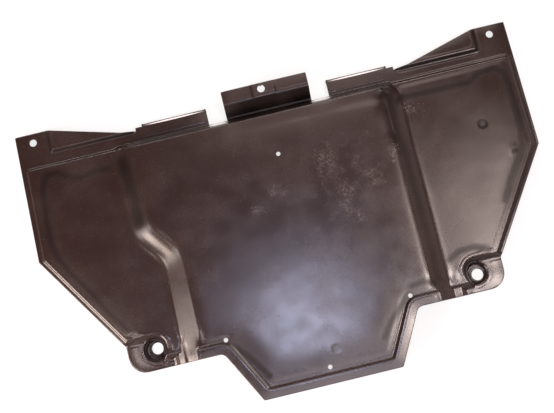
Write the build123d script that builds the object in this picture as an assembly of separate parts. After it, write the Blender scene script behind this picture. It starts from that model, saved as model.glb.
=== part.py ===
from build123d import *
import os
from math import asin, degrees, radians, sin, tan

# Engine splash shield: one moulded plastic skin, lying with its road side up.
# Millimetres. X runs along the front edge, Y points to the front edge, Z is up.
# The origin lies under the middle of the shield, on the surface it rests on.
# A place is given as (x, back): x from the middle, back from the front edge.

# Skin
wall = 3.0
edge_drop = 8.0

# Heights of the top face
rim_top = 13.0
step_rise = 3.0
crown_rise = 1.6
bulge_rise = 15.0
flap_rise = 4.5
tab_rise = 18.0
pad_sink = 4.0
well_depth = 6.0

# Outline, right half
depth = 470.0
tongue_length = 79.5
base_back = depth - tongue_length
front_half = 382.5
widest_half = 386.0
widest_back = 194.3
lower_half = 286.5
lower_back = base_back - 43.2
base_corner_r = 25.0
notch_half = 146.8
notch_r = 11.0
tongue_half = 104.3
corner_r = 4.0
small_corner_r = 1.5

# Front edge: corner ears, flaps, strips, gaps and the middle tab
ear_half = front_half - 44.5
flap_out = ear_half - 4.0
flap_in = 224.0
flap_in_back = 30.5
flap_root = 203.0
flap_root_back = 33.0
flap_foot_back = 36.2
strip_out = 201.3
strip_back = 28.0
lip_out = 191.0
lip_back = 24.5
lip_roll = 2.5
strip_in_left = -90.8
strip_in_right = 96.8
gap_back = 51.0
tab_left = -62.7
tab_right = 69.0
tab_back = 9.0
tab_bend_back = 30.5
tab_foot_back = 46.5
tab_pad_left = -16.5
tab_pad_right = 18.6
tab_pad_rise = 0.8

# Raised field inside the flange, the soft crown on it, and how far their edges lean
crease_back = 52.5
side_flange = 6.8
slant_flange = 8.5
tongue_flange = 14.0
base_flange = 14.5
field_notch_r = 20.0
crown_in = 12.0
step_lean = 45.0
crown_lean = 84.0
flap_lean = 40.0

# Middle bulge: foot of its slopes on the wings, and the head where it turns flat
bulge_foot_left = [(-239.5, 190.0), (-200.5, 241.0)]
bulge_head_left = [(-211.0, 181.0), (-175.5, 223.0)]
bulge_foot_left_end = -208.0
bulge_head_left_end = -172.0
bulge_foot_right = 195.0
bulge_head_right = 178.0
bulge_foot_right_end = 199.5
bulge_head_right_end = 174.5
bulge_front_run = 8.0
front_roll_r = 66.0
front_roll_run = 24.0
bulge_corner_r = 16.0
bulge_jog_r = 22.0
slope_softness = 0.8
slope_steps = 6

# Boss pads at the rear corners: floor outline, and how far their walls lean back
pad_front_back = base_back - 45.3
pad_in = lower_half - 54.5
pad_corner_r = 13.0
pad_turn_back = base_back - 29.5
pad_tip_x = lower_half - 49.0
pad_tip_back = base_back - 9.0
pad_end = lower_half - 62.5
pad_run = 6.0
pad_end_run = 11.0

# Wells in the boss pads, with a through hole that lies off the middle
well_x = lower_half - 42.2
well_back = base_back - 28.9
well_top_r = 18.0
well_floor_r = 13.0
boss_hole_r = 8.7
boss_hole_shift_left = (2.4, -2.2)
boss_hole_shift_right = (2.9, 2.6)

# Screw holes, drain holes and ejector marks
ear_hole_x = front_half - 25.7
ear_hole_back = 14.2
ear_hole_r = 5.5
tab_hole_x = -2.0
tab_hole_back = 18.2
tab_hole_r = 5.8
drain_r = 3.3
drain_front_back = 121.4
drain_side_x = notch_half - 7.8
drain_side_back = base_back - 18.8
drain_rear_back = depth - 25.0
mark_r = 6.5
mark_sink = 0.5
bulge_marks = [(-88.9, depth - 33.5), (88.9, depth - 33.5), (15.3, depth - 48.0)]
wing_marks = [(-206.5, base_back - 35.0), (206.5, base_back - 35.0), (310.5, 147.0),
              (widest_half - 36.6, widest_back + 5.7)]

# Room for the cutting shapes beyond the skin
spare = 40.0
below = -20.0

# Moving the inner faces in by this keeps the leaning edges as thick as the flat skin
shrink = wall * tan(radians(step_lean / 2))


def place(x, back):
    """A point of the plan from its distance behind the front edge."""
    return (x, depth / 2 - back)


def plan(points, radii=()):
    """A flat face through (x, back) points, with some corners rounded."""
    face = make_face(Polyline(*[place(*p) for p in points], close=True))
    for (x, back), r in radii:
        near = Vertex(*place(x, back), 0)
        corner = face.vertices().sort_by(lambda v: v.distance_to(near))[0]
        face = fillet(corner, r)
    return face


def at_height(face, z):
    return Pos(0, 0, z) * face


def mirrored(points):
    """Right-half points followed by their mirror images, back to the front."""
    return points + [(-x, back) for x, back in reversed(points)]


def outline_plan():
    """The whole shield seen from above, with the notches beside the tab."""
    rear = [(ear_half, 0), (front_half, 0), (widest_half, widest_back),
            (lower_half, lower_back), (lower_half, base_back),
            (notch_half, base_back), (tongue_half, depth)]
    right = [(tab_right, gap_back), (strip_in_right, gap_back), (strip_in_right, lip_back),
             (lip_out, lip_back), (lip_out, strip_back), (strip_out, strip_back),
             (strip_out, flap_root_back), (flap_root, flap_root_back),
             (flap_in, flap_in_back), (flap_out, 0)]
    left = [(-flap_out, 0), (-flap_in, flap_in_back), (-flap_root, flap_root_back),
            (-strip_out, flap_root_back), (-strip_out, strip_back), (-lip_out, strip_back),
            (-lip_out, lip_back), (strip_in_left, lip_back), (strip_in_left, gap_back),
            (tab_left, gap_back)]
    tab = [(tab_left, tab_back), (tab_right, tab_back)]
    rounds = []
    for side in (-1, 1):
        rounds += [((side * lower_half, base_back), base_corner_r),
                   ((side * notch_half, base_back), notch_r),
                   ((side * lower_half, lower_back), corner_r),
                   ((side * widest_half, widest_back), corner_r),
                   ((side * tongue_half, depth), corner_r),
                   ((side * front_half, 0), small_corner_r),
                   ((side * ear_half, 0), small_corner_r)]
    rounds += [(corner, small_corner_r) for corner in tab]
    return plan(right + mirrored(rear) + left + tab, rounds)


def field_plan(front=crease_back):
    """The raised field: the outline less the flange, notched like it."""
    back = base_back - base_flange
    lean = (notch_half - tongue_half) / (depth - base_back)
    notch_x = notch_half - tongue_flange + lean * (base_flange - tongue_flange / 2)
    tongue_back = depth - tongue_flange
    tongue_x = notch_x - lean * (tongue_back - back)
    half = [(front_half - side_flange, front),
            (widest_half - side_flange, widest_back),
            (lower_half - slant_flange, lower_back + slant_flange / 2),
            (lower_half - slant_flange, back), (notch_x, back), (tongue_x, tongue_back)]
    rounds = [((side * notch_x, back), field_notch_r) for side in (-1, 1)]
    return plan(mirrored(half), rounds)


def slope_share(rise):
    """How far along its slope the bulge is at a height over the rim."""
    share = (rise - step_rise - crown_rise) / bulge_rise
    if share <= 0 or share >= 1:
        return share
    soft = 0.5 - sin(asin(1 - 2 * share) / 3)
    return share + (soft - share) * slope_softness


def bulge_section(rise, inset):
    """Plan of the bulge at one height over the rim."""
    share = slope_share(rise)

    def between(foot, head, side):
        return foot + (head - foot) * share - side * inset

    front = crease_back + bulge_front_run * share + inset
    end = depth + spare
    jogs = [(between(f[0], h[0], -1), f[1] + (h[1] - f[1]) * share)
            for f, h in zip(bulge_foot_left, bulge_head_left)]
    left = between(bulge_foot_left[0][0], bulge_head_left[0][0], -1)
    left_end = between(bulge_foot_left_end, bulge_head_left_end, -1)
    right = between(bulge_foot_right, bulge_head_right, 1)
    right_end = between(bulge_foot_right_end, bulge_head_right_end, 1)
    points = [(left, front), (right, front), (right_end, end), (left_end, end),
              jogs[1], jogs[0]]
    rounds = [((left, front), bulge_corner_r), ((right, front), bulge_corner_r),
              (jogs[0], bulge_jog_r), (jogs[1], bulge_jog_r)]
    return at_height(plan(points, rounds), rim_top + rise)


def bulge_column(inset):
    """The bulge as a tall column: straight below, soft slopes, straight above."""
    foot = step_rise + crown_rise
    shares = [step / slope_steps for step in range(slope_steps + 1)]
    slopes = [bulge_section(foot + share * bulge_rise, inset) for share in shares]
    lower = loft([bulge_section(0, inset), slopes[0]], ruled=True)
    upper = loft([slopes[-1], bulge_section(foot + bulge_rise + wall, inset)], ruled=True)
    return lower + loft(slopes) + upper


def terrace(lift, inset, front=crease_back):
    """Flange, raised field and crown in one solid, lifted as a whole."""
    base = rim_top + lift
    slab = Pos(0, 0, below) * Box(2 * widest_half + 2 * spare, depth + 2 * spare,
                                  base - below, align=(Align.CENTER, Align.CENTER, Align.MIN))
    field = offset(field_plan(front), amount=-inset)
    step = extrude(at_height(field, base), amount=step_rise, taper=step_lean)
    crown_base = offset(field_plan(front), amount=-crown_in - inset)
    crown = extrude(at_height(crown_base, base + step_rise), amount=crown_rise, taper=crown_lean)
    return slab + step + crown


def front_roll(inset):
    """The bulge's top from the side: flat, and rolled down towards the front edge."""
    top = rim_top + step_rise + crown_rise + bulge_rise
    start = depth / 2 - crease_back - inset
    flat = start - front_roll_run
    turn = degrees(asin(front_roll_run / front_roll_r))
    roll = CenterArc((flat, top - front_roll_r), front_roll_r, 90, -turn)
    ahead = depth / 2 + spare
    edge = Polyline(roll @ 1, (ahead, (roll @ 1).Y), (ahead, below), (-depth, below),
                    (-depth, top), roll @ 0)
    face = make_face(Plane.YZ * (roll + edge))
    return extrude(face, amount=widest_half, dir=(1, 0, 0), both=True)


def bulge(inset):
    """The raised centre: its top, its rolled front and its slopes."""
    top = terrace(bulge_rise, inset, front=-spare)
    return top & front_roll(inset) & bulge_column(inset)


def flap_plan(side):
    points = [(flap_out, -spare), (flap_out, flap_foot_back), (flap_root, flap_foot_back),
              (flap_root, -spare)]
    return plan([(side * x, back) for x, back in points])


def flap(side, inset):
    """A raised wedge between a corner ear and a strip."""
    foot = offset(flap_plan(side), amount=-inset)
    return extrude(at_height(foot, rim_top), amount=flap_rise, taper=flap_lean)


def middle_tab(inset):
    """The plate for the middle screw and the slanted wall it stands on."""
    top = rim_top + tab_rise
    profile = [(depth / 2 + spare, below), (depth / 2 + spare, top),
               (depth / 2 - tab_bend_back + inset, top),
               (depth / 2 - tab_foot_back + inset, rim_top),
               (depth / 2 - tab_foot_back + inset, below)]
    face = make_face(Plane.YZ * Polyline(*profile, close=True))
    return Pos(tab_left, 0, 0) * extrude(face, amount=tab_right - tab_left, dir=(1, 0, 0))


def pad_section(side, spread, z):
    """Outline of the space over a boss pad, spread out from its floor."""
    outer = lower_half + spare
    end = pad_end - spread * pad_end_run / pad_run
    points = [(outer, pad_front_back - spread), (pad_in - spread, pad_front_back - spread),
              (pad_in - spread, pad_turn_back), (pad_tip_x - spread, pad_tip_back - spread),
              (end, pad_tip_back - spread), (end, depth), (outer, depth)]
    points = [(side * x, back) for x, back in points]
    return at_height(plan(points, [(points[1], pad_corner_r + spread)]), z)


def pad_cutter(side, inset):
    """The space over a boss pad: a flat floor and walls that lean back."""
    floor = rim_top - pad_sink
    rise = pad_sink + step_rise + crown_rise + wall
    lean = pad_run / (pad_sink + step_rise)
    return loft([pad_section(side, inset, floor),
                 pad_section(side, inset + rise * lean, floor + rise)], ruled=True)


def well_cutter(side, inset):
    """The cone-sided well that the fastener's head sits in."""
    floor = rim_top - pad_sink - well_depth
    cone = Cone(well_floor_r + inset, well_top_r + inset, well_depth,
                align=(Align.CENTER, Align.CENTER, Align.MIN))
    return Pos(*place(side * well_x, well_back), floor) * cone


def relief(inset):
    """Everything under the top face; with an inset it is the space under the skin."""
    body = terrace(0, inset) + bulge(inset)
    body = body + middle_tab(inset)
    for side in (-1, 1):
        body = body + flap(side, inset)
        body = body - pad_cutter(side, inset) - well_cutter(side, inset)
    return body


def skin():
    """The moulded shell: relief over relief, with its edge turned down."""
    outline = outline_plan()
    tall = rim_top + bulge_rise + tab_rise - below + spare
    prism = extrude(at_height(outline, below), amount=tall)
    core = extrude(at_height(offset(outline, amount=-wall, kind=Kind.INTERSECTION), below),
                   amount=tall)
    top = relief(0)
    hollow = Pos(0, 0, -wall) * relief(shrink)
    under_edge = (Pos(0, 0, -edge_drop) * top) - core
    return (prism & top) - (hollow & core) - under_edge


def upright_box(left, right, front, back, low, high):
    """A box between two x places, two distances back and two heights."""
    middle = place((left + right) / 2, (front + back) / 2)
    return Pos(*middle, low) * Box(right - left, back - front, high - low,
                                   align=(Align.CENTER, Align.CENTER, Align.MIN))


def lips():
    """The strips' front edges, turned down as far as the surface the shield lies on."""
    sides = [(-lip_out, strip_in_left), (strip_in_right, lip_out)]
    return [upright_box(left, right, lip_back, lip_back + wall, 0, rim_top - wall)
            for left, right in sides]


def lip_edges(shield):
    """The long top edges of the strips, where the skin turns down into the lips."""
    front = depth / 2 - lip_back
    return [edge for edge in shield.edges().filter_by(Axis.X)
            if abs(edge.center().Y - front) < mark_sink
            and abs(edge.center().Z - rim_top) < mark_sink]


def hole(x, back, radius):
    return Pos(*place(x, back), 0) * Cylinder(radius, 2 * spare)


def holes():
    """Boss, ear and tab screw holes, and the four drain holes."""
    found = [hole(tab_hole_x, tab_hole_back, tab_hole_r),
             hole(0, drain_front_back, drain_r), hole(0, drain_rear_back, drain_r)]
    for side, shift in ((-1, boss_hole_shift_left), (1, boss_hole_shift_right)):
        found += [hole(side * ear_hole_x, ear_hole_back, ear_hole_r),
                  hole(side * drain_side_x, drain_side_back, drain_r),
                  hole(side * well_x + shift[0], well_back + shift[1], boss_hole_r)]
    return found


def marks():
    """Shallow round ejector marks on the bulge and on the wings."""
    wing_top = rim_top + step_rise + crown_rise
    found = []
    for places, top in ((bulge_marks, wing_top + bulge_rise), (wing_marks, wing_top)):
        found += [Pos(*place(x, back), top - mark_sink) *
                  Cylinder(mark_r, wall, align=(Align.CENTER, Align.CENTER, Align.MIN))
                  for x, back in places]
    return found


def splash_shield():
    shield = skin()
    tab_pad = upright_box(tab_pad_left, tab_pad_right, tab_back, tab_bend_back,
                          rim_top + tab_rise - wall / 2, rim_top + tab_rise + tab_pad_rise)
    for piece in lips() + [tab_pad]:
        shield = shield + piece
    for cutter in holes() + marks():
        shield = shield - cutter
    return fillet(lip_edges(shield), lip_roll)


if __name__ == "__main__":
    shield = splash_shield()
    os.makedirs("parts", exist_ok=True)
    export_step(shield, "parts/splash_shield.step")
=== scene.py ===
# %% [markdown]
# # Engine splash shield
# A moulded plastic cover from under a vehicle's engine lies with its road side
# up on a pale floor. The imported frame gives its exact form. This lesson adds
# what makes plastic look moulded: softened edges, a satin skin with dust and
# scuffs, and the soft light of a plain studio.

# %% Load the frame
import math

import bpy
import numpy as np
from mathutils import Matrix, Vector
from mathutils.bvhtree import BVHTree
from mathutils.geometry import delaunay_2d_cdt


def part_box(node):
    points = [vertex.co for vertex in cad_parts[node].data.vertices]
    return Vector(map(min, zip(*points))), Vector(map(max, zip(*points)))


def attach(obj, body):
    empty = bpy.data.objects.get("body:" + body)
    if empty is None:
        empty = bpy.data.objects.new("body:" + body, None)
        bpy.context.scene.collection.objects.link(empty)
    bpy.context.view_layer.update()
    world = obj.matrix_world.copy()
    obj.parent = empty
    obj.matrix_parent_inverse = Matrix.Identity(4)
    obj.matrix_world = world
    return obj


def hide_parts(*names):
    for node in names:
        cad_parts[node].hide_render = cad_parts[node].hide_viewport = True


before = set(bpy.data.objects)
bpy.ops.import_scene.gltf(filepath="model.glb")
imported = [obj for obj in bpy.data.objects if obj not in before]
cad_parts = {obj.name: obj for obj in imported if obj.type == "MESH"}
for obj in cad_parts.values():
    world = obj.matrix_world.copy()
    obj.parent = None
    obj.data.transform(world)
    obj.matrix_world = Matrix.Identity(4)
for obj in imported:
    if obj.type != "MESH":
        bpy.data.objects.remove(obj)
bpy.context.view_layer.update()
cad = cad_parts["splash_shield"].data
low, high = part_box("splash_shield")
print("shield", [round(1000 * v, 1) for v in high - low], "mm,", len(cad.polygons), "triangles")

# %% [markdown]
# ## Camera
# A long lens looks almost straight down on the shield, with the picture turned
# by a quarter of a radian. The camera comes first, because everything that
# follows is compared with the photograph through it. Its place is worked out
# from three turns and from where it sees the middle of the front edge.

# %% Camera
RIM = 0.013  # height of the front strips' top
TILT_BACK, TILT_SIDE, TURN = -0.1258, -0.0153, 0.2360
EDGE_SEEN_AT = Vector((-0.02621, 0.19326, -1.7))  # in the camera's axes: right, up, back
front_edge = Vector((0, high.y, RIM))
facing = (Matrix.Rotation(TILT_BACK, 3, "X") @ Matrix.Rotation(TILT_SIDE, 3, "Y")
          @ Matrix.Rotation(TURN, 3, "Z")).transposed()
camera = bpy.data.objects.new("camera", bpy.data.cameras.new("camera"))
bpy.context.scene.collection.objects.link(camera)
camera.data.lens = 72.6
stand = front_edge - facing @ EDGE_SEEN_AT
camera.matrix_world = Matrix.Translation(stand) @ facing.to_4x4()
bpy.context.scene.camera = camera
bpy.context.scene.view_settings.view_transform = "Standard"
print("camera at", [round(v, 3) for v in camera.matrix_world.translation])

# %% [markdown]
# ## Reading the form
# The frame's mesh is a thin shell of loose triangles with sharp creases. A real
# moulding has no sharp crease, and light on satin plastic shows each one. The
# creases could be bevelled one by one, but a map is easier to soften: the upper
# face is read as heights, 0.6 mm apart, from rays that fall straight down on
# the frame. Where the front strips roll down into their lips, the map keeps the
# rim's height, and the rings along the edges make the roll later.

# %% Map of heights
STEP = 0.0006
STRIPS_FROM = 0.18  # the strips' lips lie in front of this
tree = BVHTree.FromPolygons([v.co for v in cad.vertices], [p.vertices[:] for p in cad.polygons])
margin = 10 * STEP
across = int((high.x - low.x + 2 * margin) / STEP) + 1
along = int((high.y - low.y + 2 * margin) / STEP) + 1
corner = np.array([low.x - margin, low.y - margin])
DOWN, UP = Vector((0, 0, -1)), Vector((0, 0, 1))


def drop(x, y):
    """Height of the upper face, or none beside the shield."""
    point = tree.ray_cast(Vector((x, y, 1)), DOWN)[0]
    return point.z if point else math.nan


heights = np.array([[drop(corner[0] + i * STEP, corner[1] + j * STEP) for i in range(across)]
                    for j in range(along)])
inside = ~np.isnan(heights)
xs, ys = np.meshgrid(corner[0] + STEP * np.arange(across), corner[1] + STEP * np.arange(along))
heights[(ys > STRIPS_FROM) & inside & (heights < RIM)] = RIM
print("map", heights.shape, "highest", round(1000 * np.nanmax(heights), 1), "mm")

# %% [markdown]
# ## Softening
# A mould has small radii at its steps and long, gentle bends on its open faces.
# One blur would either leave the bends sharp or wash the steps away. So the map
# is blurred twice, and the face follows the crisp map where it is steep or has
# a small step, and the gentle map elsewhere.

# %% Soften the map
def blurred(values, radius):
    """Gaussian blur by a radius in metres."""
    rows, columns = values.shape
    waves = np.fft.fftfreq(rows)[:, None] ** 2 + np.fft.rfftfreq(columns)[None] ** 2
    gain = np.exp(-2 * (math.pi * radius / STEP) ** 2 * waves)
    return np.fft.irfft2(np.fft.rfft2(values) * gain, s=values.shape)


def softened(values, radius):
    """Blur within the shield only, so that its outline doesn't droop."""
    weight = np.maximum(blurred(inside * 1.0, radius), 1e-6)
    return blurred(np.where(inside, values, 0), radius) / weight


def widest(values, reach):
    """Largest value within a square around each cell."""
    cells = int(reach / STEP)
    for axis in (0, 1):
        moved = [np.roll(values, k, axis=axis) for k in range(-cells, cells + 1)]
        values = np.maximum.reduce(moved)
    return values


def ramp(values, start, end):
    """0 below the start, 1 above the end, and a soft change between them."""
    share = np.clip((values - start) / (end - start), 0, 1)
    return share * share * (3 - 2 * share)


CRISP_BLUR, GENTLE_BLUR = 0.0009, 0.0055
crisp = softened(heights, CRISP_BLUR)
gentle = softened(heights, GENTLE_BLUR)
slope = np.hypot(*np.gradient(crisp, STEP))
steep = np.where(inside, np.minimum(slope, 1), 0)
at_walls = ramp(softened(steep, 0.005), 0.10, 0.18)
small_steps = softened(steep, 0.0012) > 0.13
at_small_steps = 0.6 * blurred(widest(small_steps * 1.0, 0.006), 0.002)
share = np.maximum(at_walls, at_small_steps)
near_shield = blurred(inside * 1.0, 0.002) > 0.02
surface = np.where(near_shield, gentle + (crisp - gentle) * share, RIM)
print("crisp over", round(100 * np.mean(share[inside] > 0.5)), "% of the face")

# %% [markdown]
# ## Crowns
# The wings' field and the middle bulge each swell to a soft crown. In the frame
# a crown is a level with leaning edges, and the lamps would draw its edge as a
# hard line. Each level is blurred on its own, apart from the walls around it,
# so that it swells without an edge and still meets the walls where it should.

# %% Round the crowns
CROWN_BLUR = 0.013
WING_LOW, WING_HIGH, BULGE_LOW = 0.0155, 0.0182, 0.0302  # heights of the crowned levels
wing_field = (heights > WING_LOW) & (heights < WING_HIGH) & (ys < 0.176)
bulge_top = (heights > BULGE_LOW) & (ys < 0.15)
for level in (wing_field, bulge_top):
    weight = np.maximum(blurred(level * 1.0, CROWN_BLUR), 1e-6)
    crown = blurred(np.where(level, heights, 0), CROWN_BLUR) / weight
    inner = np.clip(2 * blurred(level * 1.0, 0.0025) - 1, 0, 1) * (1 - share)
    surface += (crown - surface) * inner
    print("crown over", round(100 * np.mean(level[inside])), "% of the face")

# %% [markdown]
# ## Slopes, jog and front roll
# Between the wings and the bulge the skin climbs a long slope, as softly as a
# sheet that was pressed over a block. Halfway along the left slope it jogs
# inwards, and at the front the bulge rolls down over a wide bend. Each gets a
# wider blur. The slopes' blur fades out beside the bosses, so that the bosses'
# round walls stay crisp.

# %% Soften the slopes
LEFT_BOSS, RIGHT_BOSS = (-0.2419, -0.1244), (0.2472, -0.1292)
JOG, JOG_REACH = (-0.224, 0.041), 0.032
SLOPE_LOW, SLOPE_HIGH = 0.0195, 0.0305


def away_from(place):
    """Distance from each cell of the map to a place."""
    return np.hypot(xs - place[0], ys - place[1])


on_slope = (crisp > SLOPE_LOW) & (crisp < SLOPE_HIGH) & (ys > -0.14) & (ys < 0.178)
channel = np.clip(2.4 * blurred(on_slope * 1.0, 0.010), 0, 1)
channel *= ramp(ys, -0.145, -0.118) * (1 - ramp(ys, 0.164, 0.180))
for boss in (LEFT_BOSS, RIGHT_BOSS):
    channel *= ramp(away_from(boss), 0.030, 0.044)
round_jog = np.exp(-(away_from(JOG) / JOG_REACH) ** 2)
roll = ramp(ys, 0.085, 0.11) * (1 - ramp(ys, 0.156, 0.176))
roll = roll * (1 - ramp(np.abs(xs + 0.03), 0.20, 0.235))
for where_soft, radius in ((channel, 0.010), (round_jog, 0.009), (roll, 0.014)):
    surface += (softened(heights, radius) - surface) * where_soft
    covered = round(100 * np.mean(where_soft[inside] > 0.5))
    print("blur of", 1000 * radius, "mm over", covered, "% of the face")

# %% [markdown]
# ## Pad and outer edge
# In the photograph the pad around the left boss catches less light than the one
# on the right, because it leans to the rear. The pad is tipped by a few
# hundredths. The whole outer edge also droops by less than 2 mm, as a thin
# moulding does. The droop comes from a blur that would also see the holes as
# edges, so they are filled for it, and their rims stay level.

# %% Lean the pad and droop the edge
PAD_LEAN, EDGE_DROOP = 0.06, 0.0018
PAD_HEIGHT, PAD_REACH, HINGE = 0.009, 0.07, -0.415  # the pad tips about the line x + y = HINGE
pad = (np.abs(heights - PAD_HEIGHT) < 0.0008) & (away_from(LEFT_BOSS) < PAD_REACH)
pad = np.clip(2 * blurred(pad * 1.0, 0.003) - 0.5, 0, 1)
surface -= pad * PAD_LEAN * (HINGE - ys - xs)
drains = [(0, 0.1136), (0, -0.21), (-0.139, -0.1367), (0.139, -0.1367)]
front_screws = [(-0.3568, 0.2208), (0.3568, 0.2208), (-0.002, 0.2168)]
filled = inside.copy()
CELLS = 16  # wider than any hole's radius
disc = np.hypot(*np.mgrid[-CELLS:CELLS + 1, -CELLS:CELLS + 1]) < CELLS
for hole in drains + [LEFT_BOSS, RIGHT_BOSS] + front_screws:
    i, j = ((np.array(hole) - corner) / STEP).astype(int)
    filled[j - CELLS:j + CELLS + 1, i - CELLS:i + CELLS + 1] |= disc
surface = surface - EDGE_DROOP * (1 - blurred(filled * 1.0, 0.008))
rise_y, rise_x = np.gradient(surface, STEP)
bend = np.hypot(*np.gradient(rise_x, STEP)) + np.hypot(*np.gradient(rise_y, STEP))
print("sharpest bend left has a radius of", round(1000 / np.nanmax(bend[inside]), 2), "mm")


def sample(values, points):
    """Values of a map between its cells, at an array of x, y points."""
    place = (points - corner) / STEP
    cell = np.clip(place.astype(int), 0, [across - 2, along - 2])
    u, v = (place - cell).T
    i, j = cell.T
    return ((values[j, i] * (1 - u) + values[j, i + 1] * u) * (1 - v)
            + (values[j + 1, i] * (1 - u) + values[j + 1, i + 1] * u) * v)


# %% [markdown]
# ## Painted shade and dull bands
# The crowns' edges get dark, low-gloss bands, and three ejector marks are darker
# and duller too. Painted shade darkens the slopes, the tab's step, the flaps'
# walls and the tongue's step and foot. None of this changes the form, so it
# could be painted by hand. Here the bands' paths, in millimetres, become a map
# that the skin carries as an attribute and the plastic reads.

# %% Map of the painted shade and dull bands
crown_bands = [
    [(192, 150), (199, 156), (246, 155), (281, 155), (304, 154), (322, 164), (347, 168),
     (361, 159), (363, 132), (363, 97), (363, 65), (359, 41), (346, 22), (328, -4), (313, -32)],
    [(210, -99), (227, -90), (251, -89), (272, -97)],
    [(87, -188), (104, -165), (123, -147), (134, -134)],
    [(143, -124), (163, -121), (178, -128)],
    [(-256, 154), (-274, 156), (-298, 151), (-313, 155), (-329, 167), (-347, 167),
     (-355, 152), (-358, 131), (-360, 108), (-361, 66), (-356, 41), (-343, 15),
     (-320, -21), (-301, -56), (-279, -88)],
    [(-128, -150), (-115, -165), (-102, -182), (-92, -197)],
]
left_slope = [[(-230, 161), (-226, 129), (-225, 102), (-226, 61)]]
right_slope = [[(184, 68), (184, 29), (186, -48), (186, -124)]]
right_bend = [[(170, 168), (182, 154), (178, 108), (182, 72)]]
tab_step = [[(-62, 197.5), (69, 197.5)]]
tongue_foot = [[(-72, -202), (-38, -204)], [(46, -203), (80, -204)]]
tongue_step = [[(-131, -148), (-95, -214)]]
flap_walls = [[(side * x, y) for x, y in ((332, 233), (332, 200.5), (206, 200.5))]
              for side in (-1, 1)]


def distance(paths):
    """Distance from each cell of the map to the nearest path."""
    far = np.full(xs.shape, 1.0)
    for path in paths:
        line = np.array(path) / 1000
        for (ax, ay), (bx, by) in zip(line, line[1:]):
            run_x, run_y = bx - ax, by - ay
            part = ((xs - ax) * run_x + (ys - ay) * run_y) / (run_x ** 2 + run_y ** 2)
            part = np.clip(part, 0, 1)
            far = np.minimum(far, np.hypot(xs - ax - part * run_x, ys - ay - part * run_y))
    return far


CROWN_BAND = 0.0070
shade_and_dull = blurred(0.8 * np.exp(-(distance(crown_bands) / CROWN_BAND) ** 2), 0.002)
# Painted shade: dark bands on the slopes, the tab's step, the flaps' walls and the tongue's
# step and foot.
painted_shade_bands = [  # paths, strength, width, and how sharply the band ends
    (left_slope, 0.95, 0.012, 2),
    (right_slope, 0.60, 0.012, 2),
    (right_bend, 0.70, 0.014, 2),
    (tab_step, 1.2, 0.0085, 4),
    (tongue_foot, 0.45, 0.0045, 2),
    (tongue_step, 0.9, 0.0040, 2),
    (flap_walls, 1.3, 0.0024, 2),
]
# The painted shade joins the crowns' dull bands in one map.
for paths, strength, width, power in painted_shade_bands:
    shade_and_dull = np.maximum(shade_and_dull, strength * np.exp(-(distance(paths) / width) ** power))
ejector_marks = [  # place, radius of the dull ring, or 0 for a dull disc, and width
    ((0.310, 0.088), 0.006, 0.0028),
    ((0.349, 0.037), 0.0, 0.006),
    ((-0.089, -0.2015), 0.0, 0.006),
]
for place, ring, width in ejector_marks:
    shade_and_dull = np.maximum(shade_and_dull, np.exp(-((away_from(place) - ring) / width) ** 2))
print("dull over", round(100 * np.mean(shade_and_dull[inside] > 0.3), 1), "% of the skin")

# %% [markdown]
# ## Outline
# The outline and the rims of the holes are where the frame's upper faces meet
# upright walls with nothing beside them. They are read as closed loops of
# points. Where a loop bends softly, it is an arc cut into short chords, so
# more points are set on the arc; where it turns sharply it keeps its corner.

# %% Read the loops
def key(vertex):
    """Place of a vertex of the frame, rounded so that equal places match."""
    return tuple(round(v, 5) for v in cad.vertices[vertex].co)


WALL = 0.02  # a face whose normal rises or falls less than this is a wall
BESIDE = 0.0003
sides = {}
for face in cad.polygons:
    for a, b in zip(face.vertices, [*face.vertices[1:], face.vertices[0]]):
        sides.setdefault(frozenset((key(a), key(b))), []).append(face.normal.z)

follows = {}
for edge, tilts in sides.items():
    if len(edge) == 2 and len(tilts) == 2 and min(map(abs, tilts)) < WALL < max(tilts):
        a, b = (Vector(p[:2]) for p in edge)
        if (b - a).length < 1e-6:
            continue
        beside = (b - a).orthogonal().normalized() * BESIDE
        middle = (a + b) / 2
        open_left = math.isnan(drop(*(middle + beside)))
        open_right = math.isnan(drop(*(middle - beside)))
        if open_left != open_right:
            follows.setdefault(a.to_tuple(5), set()).add(b.to_tuple(5))
            follows.setdefault(b.to_tuple(5), set()).add(a.to_tuple(5))

loops, left = [], dict(follows)
while left:
    start = next(iter(left))
    loop, here = [], start
    while here in left:
        loop.append(here)
        nexts = left.pop(here)
        here = next((p for p in nexts if p in left), start)
    loops.append(np.array(loop))
print(len(loops), "loops with", [len(loop) for loop in loops], "points;",
      {len(n) for n in follows.values()}, "neighbours each")

# %% [markdown]
# ## Even spacing and rounded edges
# A moulded edge is never sharp. A bevel modifier would round every edge of the
# frame's triangles, wanted or not. So each loop is cut into even steps and
# four more loops follow the quarter circle of a rounded edge inside it. The
# strips at the front have a larger roll, because there the skin turns down
# into a lip.

# %% Rings along the edges
def twice_area(loop):
    """Twice the area inside a loop, below zero where it runs clockwise."""
    x, y = loop.T
    return np.sum(x * np.roll(y, -1) - np.roll(x, -1) * y)


def wound(loop, way):
    """The loop running with the shield on its left."""
    return loop if twice_area(loop) * way > 0 else loop[::-1]


def even(loop, longest):
    """More points on the loop's longer runs."""
    points = []
    for a, b in zip(loop, np.roll(loop, -1, axis=0)):
        pieces = max(1, math.ceil(np.hypot(*(b - a)) / longest))
        points += [a + (b - a) * k / pieces for k in range(pieces)]
    return np.array(points)


def inward(loop):
    """Direction to the shield's inside at each point, longer at a sharp corner."""
    ahead = np.roll(loop, -1, axis=0) - loop
    ahead /= np.linalg.norm(ahead, axis=1)[:, None]
    normal = np.stack([-ahead[:, 1], ahead[:, 0]], axis=1)
    mitre = normal + np.roll(normal, 1, axis=0)
    return 2 * mitre / np.maximum((mitre ** 2).sum(1), 1.2)[:, None]


def bottom(x, y):
    """Height of the lowest face over a point."""
    point = tree.ray_cast(Vector((x, y, -1)), UP)[0]
    return point.z if point else math.nan


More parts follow.
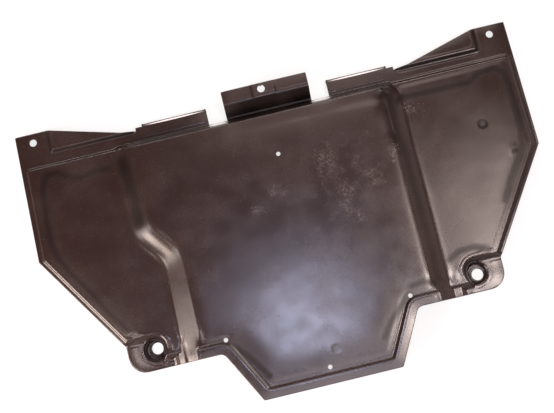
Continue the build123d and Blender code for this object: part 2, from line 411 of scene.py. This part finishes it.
TURNS = np.radians([90, 66, 44, 22, 0])
EDGE_R, LIP_R = 0.0011, 0.0025
DRAIN_R, SCREW_R = 0.0004, 0.0008
LARGEST_DRAIN = 1.2e-4  # twice the area, in square metres
OUTER_STEP, HOLE_STEP = 0.0025, 0.0012
areas = [abs(twice_area(loop)) for loop in loops]
outer = int(np.argmax(areas))
edges = []
for number, loop in enumerate(loops):
    loop = wound(loop, 1 if number == outer else -1)
    loop = even(loop, OUTER_STEP if number == outer else HOLE_STEP)
    pull = inward(loop)
    low_edge = np.array([bottom(*p) for p in loop + 0.0006 * pull])
    if number == outer:
        radius = np.where(low_edge < 0.001, LIP_R, EDGE_R)
        for _ in range(2):
            radius = (np.roll(radius, 1) + 2 * radius + np.roll(radius, -1)) / 4
    else:
        radius = np.full(len(loop), DRAIN_R if areas[number] < LARGEST_DRAIN else SCREW_R)
    rings = [loop + pull * (radius * (1 - math.sin(turn)))[:, None] for turn in TURNS]
    level = sample(surface, rings[-1])
    tops = [level - radius * (1 - math.cos(turn)) for turn in TURNS]
    edges.append({"rings": rings, "tops": tops, "pull": pull, "low": low_edge})
print("rim rings of", [len(e["low"]) for e in edges], "points")

# %% [markdown]
# ## Points where the face bends
# Flat plastic needs few points and a tight bend needs many. A grid that is fine
# all over would take about 400,000 triangles. The map's bend says how far apart
# the points may lie: four grids, each twice as coarse as the one before, are
# used where they will do. The dull bands and the bands of painted shade ask for
# fine points too, so that their soft edges are carried well.

# %% Points of the face
def in_loops(points, rings):
    """Whether each point lies inside the outer ring and outside the holes."""
    crossings = np.zeros(len(points), int)
    x, y = points.T
    for ring in rings:
        for (ax, ay), (bx, by) in zip(ring, np.roll(ring, -1, axis=0)):
            if ay != by:
                left_of = x < (bx - ax) * (y - ay) / (by - ay) + ax
                crossings += ((y < ay) != (y < by)) & left_of
    return crossings % 2 == 1


ROW = 0.866  # rows of even triangles lie this share of a gap apart
least_bend = {0.0013: 110.0, 0.0026: 14.0, 0.0052: 2.0, 0.0104: 0.0}  # for each gap
for_bands = 20.0 * (shade_and_dull > 0.08) + 120.0 * (distance(flap_walls) < 0.0035)
need = np.maximum(widest(np.where(inside, bend, 0), 0.0012), for_bands)
rims = [e["rings"][-1] + 0.0004 * e["pull"] for e in edges]
lattice = []
most = math.inf
for gap, least in least_bend.items():
    gx, gy = np.meshgrid(np.arange(low.x, high.x, gap), np.arange(low.y, high.y, gap * ROW))
    gx = gx + (np.arange(gx.shape[0]) % 2)[:, None] * gap / 2
    points = np.stack([gx.ravel(), gy.ravel()], axis=1)
    wanted = sample(need, points)
    points = points[(wanted >= least) & (wanted < most)]
    points = points[in_loops(points, rims)]
    lattice.append(points)
    most = least
    print("gap", gap, len(points), "points")

# %% [markdown]
# ## Mesh of the skin
# The points are joined by a Delaunay triangulation that keeps the innermost
# ring of each edge. The rings, the upright walls below them and the frame's own
# underside close the skin. The normals come from the map, so that the light
# runs over the triangles as over one moulded face.

# %% Join the points
flat_points = [Vector(p) for e in edges for p in e["rings"][-1]]
kept_edges, start_of = [], []
count = 0
for e in edges:
    start_of.append(count)
    total = len(e["low"])
    kept_edges += [(count + k, count + (k + 1) % total) for k in range(total)]
    count += total
flat_points += [Vector(p) for points in lattice for p in points]
verts, _, faces, origin, _, _ = delaunay_2d_cdt(flat_points, kept_edges, [], 0, 1e-7)
verts = np.array([v[:] for v in verts])
faces = np.array(faces)
middles = verts[faces].mean(1)
faces = faces[in_loops(middles, [e["rings"][-1] for e in edges])]
print(len(verts), "points and", len(faces), "triangles in the face")

# %% Faces of the top
places, normals_of_corner, skin_faces = [], [], []
index_at = {}


def add(points):
    """New vertices; gives their numbers."""
    first = len(places)
    places.extend(tuple(p) for p in points)
    return np.arange(first, len(places))


def normals_at(points):
    """Normal of the softened face at each point."""
    level = np.ones(len(points))
    tilt = np.column_stack([-sample(rise_x, points), -sample(rise_y, points), level])
    return tilt / np.linalg.norm(tilt, axis=1)[:, None]


add(np.column_stack([verts, sample(surface, verts)]))
skin_faces.extend(tuple(triangle) for triangle in faces.tolist())
normals_of_corner.extend(normals_at(verts)[faces].reshape(-1, 3).tolist())
number_in = {k: out for out, ins in enumerate(origin) for k in ins}
print(len(skin_faces), "faces on top")

# %% [markdown]
# ## Edges and walls
# From the innermost ring the skin turns over the rounded edge and runs down the
# upright wall. The normals turn with it, from the face's own to the wall's. At a
# soft corner of the outline they are shared by both walls, at a sharp one not.

# %% Edges and walls
SOFT_CORNER = 1.06  # a pull longer than this marks a sharp corner
for e, first in zip(edges, start_of):
    total = len(e["low"])
    numbers = [add(np.column_stack([ring, top]))
               for ring, top in zip(e["rings"][:-1], e["tops"][:-1])]
    numbers.append(np.array([number_in[first + k] for k in range(total)]))
    bottom_ring = np.column_stack([e["rings"][0], e["low"]])
    under = add(bottom_ring)
    for number, point in zip(under, bottom_ring):
        index_at[tuple(np.round(point, 5))] = int(number)
    length = np.linalg.norm(e["pull"], axis=1)
    soft = -e["pull"] / length[:, None]
    ahead = np.roll(e["rings"][0], -1, axis=0) - e["rings"][0]
    ahead /= np.linalg.norm(ahead, axis=1)[:, None]
    hard = np.stack([ahead[:, 1], -ahead[:, 0]], axis=1)
    up = normals_at(e["rings"][-1])
    rows = [(under, TURNS[0]), *zip(numbers, TURNS)]
    for k in range(total):
        n = (k + 1) % total
        out_a = soft[k] if length[k] < SOFT_CORNER else hard[k]
        out_b = soft[n] if length[n] < SOFT_CORNER else hard[k]
        for (lower, turn_a), (upper, turn_b) in zip(rows, rows[1:]):
            skin_faces.append((int(lower[k]), int(lower[n]), int(upper[n]), int(upper[k])))
            for out, turn, top in ((out_a, turn_a, up[k]), (out_b, turn_a, up[n]),
                                   (out_b, turn_b, up[n]), (out_a, turn_b, up[k])):
                normal = Vector(top) * math.cos(turn) + Vector((*out, 0)) * math.sin(turn)
                normals_of_corner.append(tuple(normal.normalized()))
print(len(skin_faces), "faces with the edges and walls")

# %% [markdown]
# ## Underside and finished skin
# The underside needs no softening, because it faces the floor. The frame's own
# triangles are taken as they are, with the inner walls, which have skin above
# them, and welded to the new walls by their places. The finished skin then
# replaces the frame's piece and rides on the same body.

# %% Close and finish the skin
for face in cad.polygons:
    normal, middle = face.normal, face.center
    covered = abs(normal.z) <= WALL and tree.ray_cast(middle + normal * 1e-4, UP)[0]
    if normal.z < -WALL or covered:
        corners = []
        for v in face.vertices:
            place = key(v)
            if place not in index_at:
                index_at[place] = int(add([cad.vertices[v].co])[0])
            corners.append(index_at[place])
        if len(set(corners)) == 3:
            skin_faces.append(tuple(corners))
            normals_of_corner.extend([(0, 0, 0)] * 3)

skin_mesh = bpy.data.meshes.new("shield_skin")
skin_mesh.from_pydata(places, [], skin_faces)
skin_mesh.polygons.foreach_set("use_smooth", [True] * len(skin_mesh.polygons))
skin_mesh.set_sharp_from_angle(angle=math.radians(30))
skin_mesh.normals_split_custom_set(normals_of_corner)
# The map of painted shade and dull bands rides on the skin as an attribute.
shade_and_dull_values = skin_mesh.attributes.new("shade_and_dull", "FLOAT", "POINT")
shade_and_dull_values.data.foreach_set("value", sample(shade_and_dull, np.array(places)[:, :2]))
skin = bpy.data.objects.new("shield_skin", skin_mesh)
bpy.context.scene.collection.objects.link(skin)
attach(skin, "root")
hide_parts("splash_shield")
print("skin", (1000 * np.ptp(places, axis=0)).round(1), "mm,", len(skin_faces), "faces")

# %% [markdown]
# ## Plastic
# The real plastic is brown-black with a satin gloss. Its own colour is very
# dark, so most of what is seen on it is reflected light, and the roughness
# decides how soft the lamps look in it. The finish is put together from small
# nodes, and a few helpers keep that short: noise for what is random, a remap
# for how much of it shows, and an oval patch for what lies in one place.

# %% Helpers for the plastic
plastic = bpy.data.materials.new("moulded_plastic")
plastic.use_nodes = True
wires = plastic.node_tree
shader = wires.nodes["Principled BSDF"]
where = wires.nodes.new("ShaderNodeTexCoord")


def put(socket, value):
    """Set an input to a number or a colour, or link a value to it."""
    if isinstance(value, bpy.types.NodeSocket):
        wires.links.new(value, socket)
    else:
        socket.default_value = value


def noise(scale, detail=3.0, rough=0.5, warp=0.0, place=None):
    """Noise over the shield, in lumps of about 1/scale metres."""
    lumps = wires.nodes.new("ShaderNodeTexNoise")
    for name, value in (("Scale", scale), ("Detail", detail), ("Roughness", rough),
                        ("Distortion", warp), ("Vector", place or where.outputs["Object"])):
        put(lumps.inputs[name], value)
    return lumps.outputs["Fac"]


def remap(value, low_in, high_in, low_out=0.0, high_out=1.0):
    """A value moved softly from one range to another, and held inside it."""
    change = wires.nodes.new("ShaderNodeMapRange")
    change.interpolation_type = "SMOOTHSTEP"
    for socket, part in zip(change.inputs[:5], (value, low_in, high_in, low_out, high_out)):
        put(socket, part)
    return change.outputs[0]


def combine(operation, a, b):
    """Two values, or a value and a number, put together."""
    both = wires.nodes.new("ShaderNodeMath")
    both.operation = operation
    put(both.inputs[0], a)
    put(both.inputs[1], b)
    return both.outputs[0]


def mix(share, a, b):
    """One colour laid over another."""
    blend = wires.nodes.new("ShaderNodeMix")
    blend.data_type = "RGBA"
    for socket, part in ((blend.inputs[0], share), (blend.inputs[6], a), (blend.inputs[7], b)):
        put(socket, part)
    return blend.outputs[2]


def patch(x, y, half_width, half_height, turn=-0.236):
    """1 at a place on the shield, fading to 0 at the edge of an oval."""
    move = wires.nodes.new("ShaderNodeMapping")
    move.vector_type = "TEXTURE"
    move.inputs["Location"].default_value = (x, y, 0)
    move.inputs["Rotation"].default_value = (0, 0, turn)
    move.inputs["Scale"].default_value = (half_width, half_height, 1)
    oval = wires.nodes.new("ShaderNodeTexGradient")
    oval.gradient_type = "SPHERICAL"
    wires.links.new(where.outputs["Object"], move.inputs["Vector"])
    wires.links.new(move.outputs["Vector"], oval.inputs["Vector"])
    return oval.outputs["Fac"]


def openness(reach, closed, unshaded):
    """1 where the surface is open, 0 deep in a corner of about the given size."""
    nook = wires.nodes.new("ShaderNodeAmbientOcclusion")
    nook.samples = 8
    put(nook.inputs["Distance"], reach)
    return remap(nook.outputs["AO"], closed, unshaded)


# %% [markdown]
# ## Dust, wear and painted highlights
# The shield in the photograph is new but has been handled. Gritty smears of
# dust lie on the middle, a thin film lies all over, and two places beside the
# right slope are scuffed. The front edges of the strips and of the gaps beside
# the tab get a painted highlight, a pale line. A painted picture could hold all
# this. Noise and patches do it without one, at any size.

# %% Dust, scuffs and painted edge highlights
grit = noise(380, 5, 0.75)
hands_wide = (0.085, 0.060, 0.16, 0.10, 0.5)
hands = [  # place, then half the width and height
    (-0.015, 0.064, 0.026, 0.018),
    (-0.048, 0.037, 0.030, 0.018),
    (0.097, -0.005, 0.026, 0.016),
    (0.132, 0.041, 0.022, 0.022),
    (0.082, 0.030, 0.020, 0.030),
    (0.062, 0.092, 0.020, 0.034),
]
FAINT, CLEAR = 0.24, 0.42
hand_marks = combine("MULTIPLY", patch(*hands_wide), FAINT)
for hand in hands:
    hand_marks = combine("ADD", hand_marks, combine("MULTIPLY", patch(*hand), CLEAR))
smears = combine("ADD", hand_marks, noise(60, 4, 0.6, 0.6))
cloud = combine("MULTIPLY", remap(smears, 0.58, 1.02), remap(grit, 0.40, 0.74))
film_places = remap(noise(14, 2, 0.5), 0.38, 0.75)
film = combine("MULTIPLY", film_places, remap(grit, 0.30, 0.75, 0.02, 0.09))
dust = combine("MAXIMUM", combine("MULTIPLY", cloud, 0.34), film)
speckles = remap(noise(900, 1, 0.5), 0.72, 0.78)
scuffed = combine("MAXIMUM", patch(0.212, 0.135, 0.05, 0.030), patch(0.168, 0.075, 0.030, 0.05))
scratches = combine("ADD", combine("MULTIPLY", scuffed, 0.22), noise(420, 3, 0.7, 2.5))
scuffs = combine("MULTIPLY", remap(scratches, 0.76, 0.86), remap(scuffed, 0.0, 0.3))
# Painted highlight: pale lines along the front edges of the strips and of the gaps beside the
# tab.
strip_edges = [(-0.1405, 0.2076, 0.052, 0.0014), (0.144, 0.2076, 0.049, 0.0014)]
gap_edges = [(-0.077, 0.1818, 0.0175, 0.0024), (0.083, 0.1818, 0.0175, 0.0024)]
painted_highlight = 0.0
for edge in strip_edges + gap_edges:
    painted_highlight = combine("MAXIMUM", painted_highlight, remap(patch(*edge, 0), 0.0, 0.4))
print("dust, scuffs and rubbed edges take", len(wires.nodes), "nodes")

# %% [markdown]
# ## Colour, painted shade, gloss and waves
# Painted shade darkens deep corners, the slopes and the steps to a near-black
# colour with weaker reflection, as in the photograph; the crowns' dull bands and
# the ejector marks get the same. Dust and wear lie over the plastic's own colour
# and make it rougher, and a painted highlight lies on the front edges. Last come
# two bumps: long waves from shrinkage, which let the lamps' reflections wander a
# little, and a fine grain.

# %% Plastic
# The second colour is painted shade, the near-black of deep corners and the shade bands.
PLASTIC, CORNER_SHADE = (0.0162, 0.0081, 0.0073, 1), (0.0036, 0.0026, 0.0024, 1)
DUST, SCUFF = (0.20, 0.155, 0.130, 1), (0.40, 0.36, 0.33, 1)
HIGHLIGHT_COLOUR = (0.72, 0.71, 0.70, 1)
shade_and_dull_map = wires.nodes.new("ShaderNodeAttribute")
shade_and_dull_map.attribute_name = "shade_and_dull"
# Painted shade: ambient occlusion in deep corners and the band map darken the colour and weaken
# the reflection.
unshaded = combine("MINIMUM", openness(0.012, 0.65, 0.95), openness(0.03, 0.45, 0.92))
unshaded = combine("MULTIPLY", unshaded, remap(shade_and_dull_map.outputs["Fac"], 0.0, 1.0, 1.0, 0.3))
put(shader.inputs["Specular IOR Level"], remap(unshaded, 0.0, 1.0, 0.08, 0.5))
wear = combine("MAXIMUM", combine("MULTIPLY", speckles, 0.22), combine("MULTIPLY", scuffs, 0.7))
shaded_and_dusted = mix(dust, mix(unshaded, CORNER_SHADE, PLASTIC), DUST)
# Scuffs, specks and the painted highlight on the front edges lie on top.
put(shader.inputs["Base Color"], mix(painted_highlight, mix(wear, shaded_and_dusted, SCUFF), HIGHLIGHT_COLOUR))
matt = combine("MAXIMUM", combine("MAXIMUM", cloud, scuffs), shade_and_dull_map.outputs["Fac"])
gloss = remap(noise(30, 2, 0.5), 0.3, 0.75, 0.19, 0.25)
put(shader.inputs["Roughness"], combine("ADD", gloss, combine("MULTIPLY", matt, 0.12)))
bump = None
for height, lumps in ((0.00030, noise(22, 1.5, 0.4)), (0.000014, noise(800, 2))):
    waves = wires.nodes.new("ShaderNodeBump")
    put(waves.inputs["Distance"], height)
    put(waves.inputs["Height"], lumps)
    if bump:
        wires.links.new(bump.outputs["Normal"], waves.inputs["Normal"])
    bump = waves
wires.links.new(bump.outputs["Normal"], shader.inputs["Normal"])
skin_mesh.materials.append(plastic)
print("plastic has", len(wires.nodes), "nodes")

# %% [markdown]
# ## Floor
# The photograph's ground is pure white with only a trace of shadow. A brighter
# lamp would bleach the shield too. So the floor shines by itself, but only
# towards the camera and in reflections, and a quarter of it stays plain paint
# that takes the shield's shadow. It lies a hair below the shield's feet.

# %% Floor
FLOOR_REACH, FLOOR_Z = 4, -0.0002
floor_mesh = bpy.data.meshes.new("floor")
floor_corners = [(x * FLOOR_REACH, y * FLOOR_REACH, FLOOR_Z)
                 for x, y in ((-1, -1), (1, -1), (1, 1), (-1, 1))]
floor_mesh.from_pydata(floor_corners, [], [(0, 1, 2, 3)])
floor = bpy.data.objects.new("floor", floor_mesh)
bpy.context.scene.collection.objects.link(floor)
pale = bpy.data.materials.new("floor_white")
pale.use_nodes = True
wires = pale.node_tree
paint = wires.nodes["Principled BSDF"]
paint.inputs["Base Color"].default_value = (0.8, 0.8, 0.8, 1)
paint.inputs["Roughness"].default_value = 0.9
glow = wires.nodes.new("ShaderNodeEmission")
ray = wires.nodes.new("ShaderNodeLightPath")
seen = combine("MAXIMUM", ray.outputs["Is Camera Ray"], ray.outputs["Is Glossy Ray"])
seen = combine("MAXIMUM", seen, ray.outputs["Is Transmission Ray"])
shown = wires.nodes.new("ShaderNodeMixShader")
put(shown.inputs[0], combine("MULTIPLY", seen, 0.75))
put(shown.inputs[1], paint.outputs[0])
put(shown.inputs[2], glow.outputs[0])
put(wires.nodes["Material Output"].inputs["Surface"], shown.outputs[0])
floor_mesh.materials.append(pale)
print("floor at", FLOOR_Z)

# %% [markdown]
# ## Light
# Satin plastic shows its lamps, so the photograph tells where they are by what
# the flat and the sloped faces reflect: a cool soft patch over the middle, wide
# warm ones over the right wing and its pad, and a low one at the left that
# lights the jog. Weaker ones at the front and rear draw the rims. Each lamp is
# a soft box, and its strength is worked out from how bright it should look.

# %% Light
lamps = {  # place, what it aims at, width, height, how bright it looks, colour
    "over_middle": ((0.01, -0.11, 1.95), (0.0, -0.08, 0), 0.30, 0.26, 23, (0.72, 0.75, 1.0)),
    "over_right_wing": ((0.72, 0.12, 1.9), (0.15, -0.1, 0), 0.32, 0.40, 8, (1.0, 0.82, 0.75)),
    "over_right_pad": ((0.76, -0.29, 1.9), (0.25, -0.1, 0), 0.28, 0.40, 38, (1.0, 0.84, 0.78)),
    "rear_left": ((-0.80, -0.36, 1.85), (-0.25, -0.13, 0), 0.28, 0.24, 12, (1.0, 0.88, 0.86)),
    "low_left": ((-1.05, -0.47, 0.42), (-0.22, 0.03, 0), 0.52, 0.60, 21, (1.0, 0.82, 0.73)),
    "low_left_far": ((-1.08, -0.10, 0.62), (-0.19, -0.08, 0), 0.20, 0.6, 7, (1.0, 0.86, 0.80)),
    "front": ((0.62, 1.65, 1.9), (0, 0, 0), 1.0, 1.3, 2.6, (1.0, 0.84, 0.78)),
    "front_near": ((0.20, 0.85, 1.95), (0.1, 0, 0), 0.7, 0.7, 1.3, (1.0, 0.80, 0.76)),
    "front_low": ((-0.1, 1.7, 1.05), (0, 0.2, 0), 2.0, 0.15, 20, (1.0, 0.92, 0.88)),
    "rear_overhead": ((0.08, -0.82, 1.9), (0, -0.3, 0), 1.25, 0.78, 4.2, (0.95, 0.90, 1.0)),
    "rear_low": ((0.0, -1.9, 1.0), (0, -0.1, 0), 2.2, 0.14, 9, (1.0, 0.92, 0.90)),
    "right": ((1.9, 0.2, 0.9), (0.2, 0, 0), 1.4, 1.4, 0.9, (1.0, 0.78, 0.72)),
}
for name, (place, aim, width, height, brightness, colour) in lamps.items():
    lamp = bpy.data.lights.new(name, "AREA")
    lamp.shape, lamp.size, lamp.size_y = "RECTANGLE", width, height
    lamp.energy, lamp.color = brightness * math.pi * width * height, colour
    soft_box = bpy.data.objects.new(name, lamp)
    soft_box.location = place
    way = Vector(aim) - Vector(place)
    soft_box.rotation_euler = way.to_track_quat("-Z", "Y").to_euler()
    bpy.context.scene.collection.objects.link(soft_box)
print(len(lamps), "lamps")

# %% [markdown]
# ## Surroundings
# A warm, dim world fills the shadows, as the walls of a room would. Seen from
# low down, the camera would look past the floor at it, so the camera alone is
# shown a white backdrop instead.

# %% World
world = bpy.data.worlds.new("studio")
world.use_nodes = True
wires = world.node_tree
room, backdrop = wires.nodes["Background"], wires.nodes.new("ShaderNodeBackground")
put(room.inputs["Color"], (0.195, 0.136, 0.123, 1))
put(backdrop.inputs["Color"], (1, 1, 1, 1))
shown = wires.nodes.new("ShaderNodeMixShader")
put(shown.inputs[0], wires.nodes.new("ShaderNodeLightPath").outputs["Is Camera Ray"])
put(shown.inputs[1], room.outputs[0])
put(shown.inputs[2], backdrop.outputs[0])
put(wires.nodes["World Output"].inputs["Surface"], shown.outputs[0])
bpy.context.scene.world = world
print("world", world.name)
